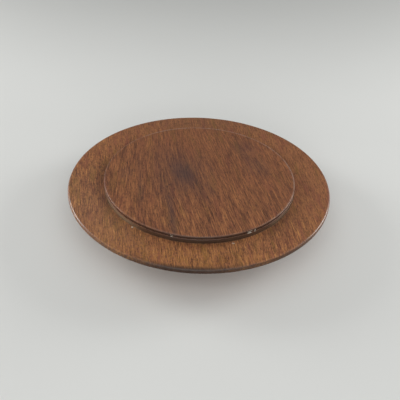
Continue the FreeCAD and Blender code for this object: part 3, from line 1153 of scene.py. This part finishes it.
@dataclass
class DisplayDisc:
    """The raised disc with its thin lip and the turned groove under it."""

    lip_thickness: float = 2.2 * MM
    top_round: float = 1.1 * MM
    lip_round: float = 0.7 * MM
    groove_width: float = 1.3 * MM
    groove_depth: float = 1.8 * MM
    groove_round: float = 0.3 * MM
    shoulder_round: float = 0.5 * MM
    supports: tuple[float, float] = (3 * MM, 7 * MM)
    wood: Timber = DISPLAY_WOOD

    def build(self) -> None:
        """Turns the disc."""
        low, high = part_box("display_disc")
        radius, top = high.y, high.z
        lip = top - self.lip_thickness
        groove = lip - self.groove_width
        wall = radius - self.groove_depth
        shape = Shape().lathe(
            Corner(0, low.z),
            Corner(radius, low.z, self.groove_round, 2),
            Corner(radius, groove, self.shoulder_round, 4),
            Corner(wall, groove, self.groove_round, 3),
            Corner(wall, lip, self.groove_round, 3),
            Corner(radius, lip, self.lip_round, 5),
            Corner(radius, top, self.top_round, 7),
            *[Corner(radius - inset, top) for inset in self.supports],
            Corner(0, top),
        )
        wood = self.wood.material()
        shape.piece("raised_display_disc", Body.TURNTABLE, "display_wood", "display_disc", wood)


@dataclass
class BaseDisc:
    """The small thick disc on the feet, with the hole that the upper screws are driven through."""

    edge_round: float = 4 * MM
    support: float = 1 * MM
    driver_hole_radius: float = 7.5 * MM
    wood: Timber = Timber(
        name="base_oiled_hardwood",
        lean=4.0,
        shift=(0.6, 0.2, 0.3),
        tones=shades((66, 40, 28), (98, 61, 40), (118, 75, 49), (134, 86, 55), (156, 104, 64)),
        layers=(Layer(12, 140, 0.7), Layer(2.4, 36, 0.8), Layer(1.25, 14, 1.3, 1.0)),
    )

    def build(self) -> None:
        """Turns the disc, and bores the driver hole."""
        low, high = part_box("base_disc")
        radius, ease = high.y, self.edge_round
        flat = radius - ease - 2 * self.support
        shape = Shape().lathe(
            Corner(flat, low.z),
            Corner(flat + self.support, low.z),
            Corner(radius, low.z, ease, 10),
            Corner(radius, high.z, ease, 10),
            Corner(flat + self.support, high.z),
            Corner(flat, high.z),
        )
        screw = middle_of("upper_plate_screw_1")
        hole = Hole(screw.x, screw.y, self.driver_hole_radius)
        for level in (low.z, high.z):
            shape.punch(shape.ring(flat, level), level, [hole])
        shape.walls([hole], low.z, high.z)
        shape.piece("turned_base_disc", Body.BASE, "base_wood", "base_disc", self.wood.material())


@dataclass
class SwivelBearing:
    """The bearing: two square plates with pressed races, the rolled eyelet, the cage and the balls."""

    side: float = 102 * MM
    corner: float = 9 * MM
    corner_cuts: int = 12
    edge_round: float = 0.25 * MM
    hole_margin: float = 9 * MM
    hole_radius: float = 2.2 * MM
    sheet: float = 1.2 * MM
    face: float = 2.9 * MM
    height: float = 8 * MM
    bore: float = 24 * MM
    upper_bore: float = 24.3 * MM
    bore_back_round: float = 0.2 * MM
    bore_face_round: float = 0.3 * MM
    middle: float = 32 * MM
    outer: float = 38 * MM
    step: float = 2 * MM
    groove: float = 2.1 * MM
    groove_cuts: int = 10
    press_round: float = 0.8 * MM
    eyelet_inner: float = 22.8 * MM
    eyelet_flange: float = 27 * MM
    eyelet_clearance: float = 0.2 * MM
    eyelet_mouth_round: float = 0.9 * MM
    eyelet_edge_round: float = 0.3 * MM
    pocket: float = 2.1 * MM
    pocket_cuts: int = 32
    zinc: Metal = Metal("zinc_plated_sheet", tint(206, 208, 210), tint(150, 153, 158), 0.3)
    polished: Metal = Metal("polished_ball_steel", tint(226, 227, 230), tint(196, 198, 202), 0.1, 0.2)
    nylon: Moulding = Moulding("natural_nylon", tint(226, 220, 202), tint(170, 160, 140), 0.42)

    def _groove(self, radius: float, level: float) -> list[Corner]:
        """The arc of a ball groove, from the inside out, at a plate's face or back.

        Args:
            radius: The arc's radius about the balls' middle.
            level: The level that it starts and ends at.

        Returns:
            Its corners.
        """
        centre = self.height / 2
        reach = math.acos((centre - level) / radius)
        turns = [reach * (2 * i / self.groove_cuts - 1) for i in range(self.groove_cuts + 1)]
        return [
            Corner(self.middle + radius * math.sin(turn), centre - radius * math.cos(turn))
            for turn in turns
        ]

    def _plate(self, bore: float) -> Shape:
        """One plate, lying on its back at level 0.

        Args:
            bore: The radius of its middle hole.

        Returns:
            The plate.
        """
        back, edge, press = self.face - self.sheet, self.outer + 2 * self.step, self.press_round
        shape = Shape().lathe(
            Corner(edge, 0),
            Corner(self.outer + self.step / 2, 0, press, 4),
            Corner(self.outer - self.step / 2, back, press, 4),
            *reversed(self._groove(self.groove + self.sheet, back)),
            Corner(bore, back, self.bore_back_round, 2),
            Corner(bore, self.face, self.bore_face_round, 3),
            *self._groove(self.groove, self.face),
            Corner(self.outer, self.face, press, 4),
            Corner(self.outer + self.step, self.sheet, press, 4),
            Corner(edge, self.sheet),
        )
        grid = bmesh.ops.create_grid(shape.bm, x_segments=1, y_segments=1, size=self.side / 2)
        shape.ease(grid["verts"], self.corner, self.corner_cuts, "VERTICES")
        face = max(shape.bm.faces, key=lambda f: f.calc_area())
        outline = list(face.edges)
        bmesh.ops.delete(shape.bm, geom=[face], context="FACES_ONLY")
        place = self.side / 2 - self.hole_margin
        holes = [Hole(x, y, self.hole_radius) for x in (-place, place) for y in (-place, place)]
        shape.ease(shape.slab(outline, self.sheet, edge, holes), self.edge_round, 3)
        return shape

    def _eyelet(self) -> Shape:
        """The tube that is rolled over at both ends to hold the plates together.

        Returns:
            The eyelet.
        """
        low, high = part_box("bearing_eyelet")
        grip = self.height - 2 * (self.face - self.sheet)
        flange = (high.z - low.z - grip - self.eyelet_clearance) / 2
        inner, outer = self.eyelet_inner, self.eyelet_flange
        mouth, ease = self.eyelet_mouth_round, self.eyelet_edge_round
        return Shape().lathe(
            Corner(inner, low.z, mouth, 5),
            Corner(outer, low.z, ease, 3),
            Corner(outer, low.z + flange, ease, 3),
            Corner(self.bore, low.z + flange),
            Corner(self.bore, high.z - flange),
            Corner(outer, high.z - flange, ease, 3),
            Corner(outer, high.z, ease, 3),
            Corner(inner, high.z, mouth, 5),
            closed=True,
        )

    def _cage(self) -> Shape:
        """The flat ring with a pocket for each ball.

        Returns:
            The cage.
        """
        low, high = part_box("ball_cage")
        ease = self.edge_round
        flats = []
        shape = Shape()
        for wall, side in ((high.y, -1), (2 * self.middle - high.y, 1)):
            flats.append(wall + side * 2 * ease)
            shape.lathe(
                Corner(flats[-1], low.z),
                Corner(wall, low.z, ease, 3),
                Corner(wall, high.z, ease, 3),
                Corner(flats[-1], high.z),
            )
        places = [middle_of(name) for name in named("bearing_ball_")]
        holes = [Hole(place.x, place.y, self.pocket, self.pocket_cuts) for place in places]
        for level in (low.z, high.z):
            shape.punch([edge for flat in flats for edge in shape.ring(flat, level)], level, holes)
        shape.walls(holes, low.z, high.z)
        return shape

    def build(self) -> None:
        """Makes the plates, the eyelet and the cage, and finishes the balls."""
        zinc, nylon = self.zinc.material(), self.nylon.material()
        base_top, platter_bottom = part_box("base_disc")[1].z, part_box("platter")[0].z
        turned = upright(0, 0, platter_bottom, math.radians(45), over=True)
        lower = self._plate(self.bore).moved(Matrix.Translation((0, 0, base_top)))
        upper = self._plate(self.upper_bore).moved(turned)
        lower.piece("stamped_lower_plate", Body.BASE, "plate_steel", "lower_bearing_plate", zinc)
        upper.piece("stamped_upper_plate", Body.TURNTABLE, "plate_steel", "upper_bearing_plate", zinc)
        self._eyelet().piece("rolled_eyelet", Body.BASE, "plate_steel", "bearing_eyelet", zinc)
        self._cage().piece("moulded_ball_cage", Body.BALLS, "cage_nylon", "ball_cage", nylon)
        dress(named("bearing_ball_"), self.polished.material())


@dataclass
class Screws:
    """All the wood screws, each with a cross recess in its head and a thread on its shank."""

    shank: float = 1.75 * MM
    root: float = 1.25 * MM
    pitch: float = 1.4 * MM
    overlap: float = 0.1 * MM
    head: float = 3.5 * MM
    pan_height: float = 2.1 * MM
    pan_round: float = 0.8 * MM
    pan_margin: float = 0.3 * MM
    pan_seat_round: float = 0.15 * MM
    pan_neck: float = 0.4 * MM
    countersunk_margin: float = 0.4 * MM
    countersunk_round: float = 0.12 * MM
    countersunk_neck: float = 3 * MM
    neck_taper: float = 0.6 * MM
    recess_length: float = 3.6 * MM
    recess_width: float = 0.9 * MM
    recess_depth: float = 1.2 * MM
    tip: float = 2 * MM
    seed: int = 12
    plated: Metal = Metal("zinc_plated_screw", tint(196, 198, 200), tint(140, 142, 146), 0.28)
    brass: Metal = Metal("brass_screw", tint(214, 172, 98), tint(150, 112, 58), 0.26)

    def _screw(self, length: float, head: Head) -> Shape:
        """One screw that stands on its head, with the head's seat at level 0 and the point upwards.

        Args:
            length: From the seat to the point, with a countersunk head in it.
            head: The kind of head.

        Returns:
            The screw.
        """
        if head is Head.PAN:
            bottom, seat, neck = -self.pan_height, 0.0, self.pan_neck
            flat = self.head - self.pan_round - self.pan_margin
            rounding = [
                Corner(self.head, bottom, self.pan_round, 6),
                Corner(self.head, 0, self.pan_seat_round, 2),
            ]
        else:
            bottom, seat = 0.0, self.head - self.shank
            neck = seat + self.countersunk_neck
            flat = self.head - self.countersunk_margin
            rounding = [Corner(self.head, bottom, self.countersunk_round, 2)]
        start, end = neck + self.neck_taper, length - self.tip
        shape = Shape().lathe(
            Corner(flat, bottom),
            *rounding,
            Corner(self.shank, seat),
            Corner(self.shank, neck),
            Corner(self.root, start),
            Corner(self.root, end),
            Corner(0, length),
            steps=SMALL_STEPS,
        )
        mouth = shape.cross(self.recess_length, self.recess_width, bottom, self.recess_depth)
        shape.fill([*shape.ring(flat, bottom), *mouth])
        shape.thread(self.root - self.overlap, self.shank, self.pitch, start - 3 * self.overlap, end)
        return shape

    def build(self) -> None:
        """Makes every screw where its node is."""
        plated, brass = self.plated.material(), self.brass.material()
        turns = random.Random(self.seed)
        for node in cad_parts:
            if "_screw_" not in node:
                continue
            low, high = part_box(node)
            place = (low + high) / 2
            down = node.startswith("lower")
            countersunk = node.startswith("display")
            pan = 0.0 if countersunk else self.pan_height
            seat = high.z - pan if down else low.z + pan
            shape = self._screw(high.z - low.z - pan, Head.COUNTERSUNK if countersunk else Head.PAN)
            shape.moved(upright(place.x, place.y, seat, turns.uniform(0, math.pi), over=down))
            body = Body.TURNTABLE if node.startswith(("upper", "display")) else Body.BASE
            slot, metal = ("screw_brass", brass) if countersunk else ("screw_steel", plated)
            shape.piece(f"threaded_{node}", body, slot, node, metal)


@dataclass
class Feet:
    """The four rubber feet and their washers."""

    count: int = 4
    facets: int = 64
    bottom_radius: float = 7.5 * MM
    bottom_round: float = 0.8 * MM
    pocket: float = 4.3 * MM
    bore: float = 1.95 * MM
    edge: float = 0.25 * MM
    washer_round: float = 0.15 * MM
    washer_edge: float = 0.1 * MM
    rubber: Moulding = Moulding("black_rubber", tint(40, 39, 38), tint(104, 99, 92), 0.7)
    washer: Metal = Metal("zinc_plated_washer", tint(200, 202, 204), tint(140, 143, 148), 0.3)

    def build(self) -> None:
        """Makes the feet and their washers."""
        rubber, zinc = self.rubber.material(), self.washer.material()
        for number in range(1, self.count + 1):
            foot_node, ring_node = f"rubber_foot_{number}", f"foot_washer_{number}"
            low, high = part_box(foot_node)
            ring_low, ring_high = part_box(ring_node)
            foot = Shape().lathe(
                Corner(self.pocket, low.z, self.edge, 3),
                Corner(self.bottom_radius, low.z, self.bottom_round, 5),
                Corner((high.x - low.x) / 2, high.z, self.edge, 3),
                Corner(self.bore, high.z),
                Corner(self.bore, ring_high.z),
                Corner(self.pocket, ring_high.z),
                steps=self.facets,
                closed=True,
            )
            outer = (ring_high.x - ring_low.x) / 2
            ring = Shape().lathe(
                Corner(self.bore, ring_low.z, self.washer_edge, 2),
                Corner(outer, ring_low.z, self.washer_round, 2),
                Corner(outer, ring_high.z, self.washer_edge, 2),
                Corner(self.bore, ring_high.z, self.washer_edge, 2),
                steps=SMALL_STEPS,
                closed=True,
            )
            for shape in (foot, ring):
                shape.moved(Matrix.Translation(((low.x + high.x) / 2, (low.y + high.y) / 2, 0)))
            foot.piece(f"moulded_foot_{number}", Body.BASE, "foot_rubber", foot_node, rubber)
            ring.piece(f"stamped_washer_{number}", Body.BASE, "washer_steel", ring_node, zinc)


# ---------------------------------------- studio


@dataclass(frozen=True)
class Softbox:
    """A square soft light that faces the middle of the floor, with its power in watts."""

    name: str
    x: float
    y: float
    z: float
    size: float
    power: float

    def add(self) -> None:
        """Adds the light to the scene."""
        data = bpy.data.lights.new(self.name, "AREA")
        data.size = self.size
        data.energy = self.power
        light = added(self.name, data)
        place = Vector((self.x, self.y, self.z))
        light.location = place
        light.rotation_euler = (Vector() - place).to_track_quat("-Z", "Y").to_euler()
        light.visible_camera = False


@dataclass
class Studio:
    """The pale floor, the soft lights and the camera."""

    floor_radius: float = 5.0
    floor_steps: int = 96
    air: float = 0.172
    lens: float = 62.1
    sensor: float = 36.0
    distance: float = 0.744
    elevation: float = 35.2
    aim_down: float = 1.477
    aim_right: float = 0.112
    roll: float = 2.48
    paper: Paper = Paper(
        "studio_paper", tint(226, 227, 224), tint(223, 224, 221), tint(198, 199, 196)
    )
    lights: tuple[Softbox, ...] = (
        Softbox("front_overhead_softbox", 0.0, -1.6, 1.2, 2.0, 13.4),
        Softbox("front_low_softbox", 0.0, -1.7, 0.35, 0.9, 11.3),
        Softbox("overhead_softbox", 0.0, -0.2, 1.6, 2.4, 7.4),
        Softbox("left_softbox", -1.2, 0.5, 0.5, 0.6, 8.4),
        Softbox("right_softbox", 1.2, 0.52, 0.5, 0.6, 8.7),
    )

    def build(self) -> None:
        """Makes the floor, the lights and the camera."""
        self._floor()
        for light in self.lights:
            light.add()
        world = bpy.data.worlds.new("studio_air")
        bpy.context.scene.world = world
        world.use_nodes = True
        background = world.node_tree.nodes["Background"]
        background.inputs["Color"].default_value = (1.0, 1.0, 1.0, 1.0)
        background.inputs["Strength"].default_value = self.air
        bpy.context.scene.view_settings.view_transform = "Standard"
        self._camera()

    def _floor(self) -> None:
        """Makes the floor."""
        bm = bmesh.new()
        size = {"segments": self.floor_steps, "radius": self.floor_radius}
        bmesh.ops.create_circle(bm, cap_ends=True, **size)
        mesh = bpy.data.meshes.new("studio_floor")
        bm.to_mesh(mesh)
        bm.free()
        mesh.materials.append(self.paper.material())
        added("studio_floor", mesh)

    def _camera(self) -> None:
        """Sets the camera up in front of the stand and above it."""
        data = bpy.data.cameras.new("studio_camera")
        data.lens = self.lens
        data.sensor_width = self.sensor
        camera = added("studio_camera", data)
        lift = math.radians(self.elevation)
        back = Vector((0, -math.cos(lift), math.sin(lift)))
        target = Vector((0, 0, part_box("platter")[1].z))
        aim = (-back).to_track_quat("-Z", "Y").to_matrix().to_4x4()
        nod = Matrix.Rotation(math.radians(-self.aim_down), 4, "X")
        swing = Matrix.Rotation(math.radians(-self.aim_right), 4, "Y")
        roll = Matrix.Rotation(math.radians(self.roll), 4, "Z")
        place = Matrix.Translation(target + back * self.distance)
        camera.matrix_world = place @ aim @ nod @ swing @ roll
        bpy.context.scene.camera = camera


def main() -> None:
    """Builds every sub-assembly in order."""
    logging.basicConfig(level=logging.INFO, format="%(name)s %(message)s")
    for part in (Studio(), BaseDisc(), Feet(), SwivelBearing(), Platter(), DisplayDisc(), Screws()):
        part.build()


if __name__ == "__main__":
    main()
